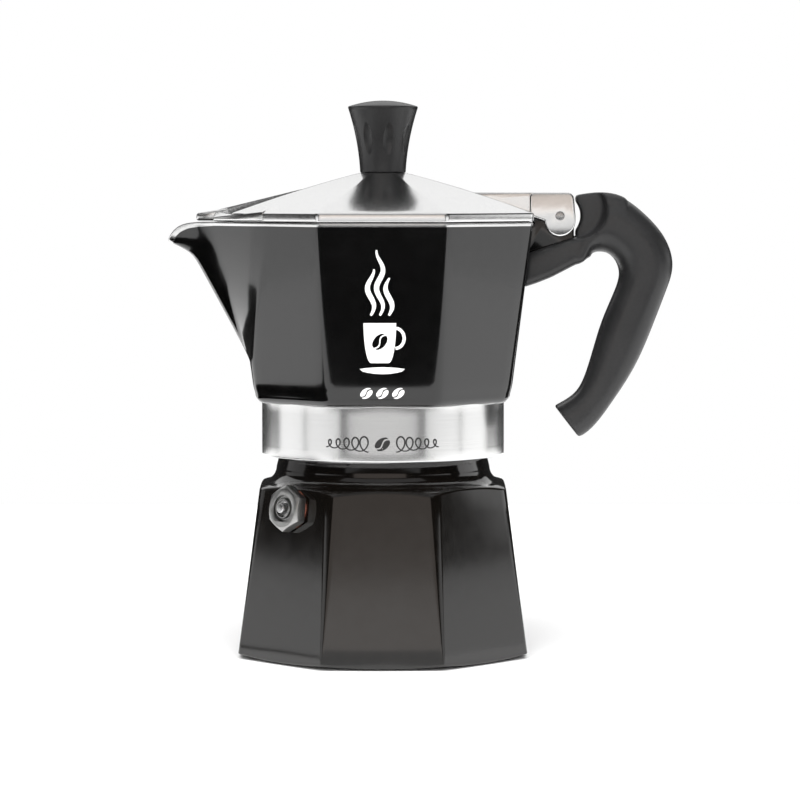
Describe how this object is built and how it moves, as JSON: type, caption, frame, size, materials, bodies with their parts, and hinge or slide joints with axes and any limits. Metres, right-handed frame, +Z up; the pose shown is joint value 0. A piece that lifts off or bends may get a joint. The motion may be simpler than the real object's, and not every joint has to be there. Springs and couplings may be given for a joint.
{
  "type": "stove-top coffee pot",
  "caption": "Octagonal screw-together stove-top coffee pot with hinged lid, hooked handle, spout, sieve, seal and safety valve.",
  "frame": {"origin": "centre of the flat base, on the pot's axis", "axes": "+Z up along the pot's axis, spout towards -X, handle towards +X"},
  "size_m": [0.1511, 0.089, 0.1654],
  "materials": {
    "boiler_lacquer": "gloss black lacquer over cast aluminium",
    "collector_lacquer": "gloss black lacquer outside, bare aluminium inside and on the collar",
    "lid_aluminium": "polished",
    "funnel_aluminium": "spun, satin",
    "filter_aluminium": "stamped, satin",
    "seal_rubber": "moulded, matt",
    "valve_nickel": "turned, nickel plated",
    "valve_steel": "turned",
    "spring_steel": "drawn wire",
    "fibre_washer": "pressed fibre",
    "pin_steel": "ground",
    "knob_plastic": "moulded, satin",
    "insert_brass": "turned",
    "screw_steel": "zinc plated",
    "handle_plastic": "moulded, satin"
  },
  "bodies": {
    "boiler": {"boiler": "boiler_lacquer", "safety_valve_body": "valve_nickel", "valve_seal_washer": "fibre_washer", "valve_retainer": "valve_steel", "valve_spring": "spring_steel", "funnel": "funnel_aluminium", "funnel_strainer": "funnel_aluminium"},
    "valve_stem": {"valve_stem": "valve_steel", "valve_seat_seal": "seal_rubber"},
    "seal_set": {"gasket": "seal_rubber", "filter_plate": "filter_aluminium"},
    "collector": {"collector": "collector_lacquer", "handle": "handle_plastic", "handle_screw": "screw_steel", "handle_washer": "screw_steel"},
    "lid": {"lid": "lid_aluminium", "hinge_pin": "pin_steel", "knob": "knob_plastic", "knob_insert": "insert_brass", "knob_screw": "screw_steel", "knob_washer": "screw_steel"}
  },
  "joints": [
    {"name": "valve_slide", "type": "slide", "parent": "boiler", "child": "valve_stem", "axis": [-0.7012, -0.7012, 0.1285], "range_m": [0, 0.0012], "stiffness_N_per_m": 900, "springref_m": -0.002, "deforming": ["valve_spring"]},
    {"name": "collector_rise", "type": "slide", "parent": "boiler", "child": "seal_set", "axis": [0, 0, 1], "range_m": [0, 0.00751]},
    {"name": "collector_turn", "type": "hinge", "parent": "seal_set", "child": "collector", "pos_m": [0, 0, 0], "axis": [0, 0, 1], "range_deg": [0, 900]},
    {"name": "lid_hinge", "type": "hinge", "parent": "collector", "child": "lid", "pos_m": [0.0526, 0, 0.1311], "axis": [0, 1, 0], "range_deg": [0, 95]}
  ],
  "couplings": [
    {"joint": "collector_rise", "follows": "collector_turn", "m_per_rad": 0.00047746}
  ]
}
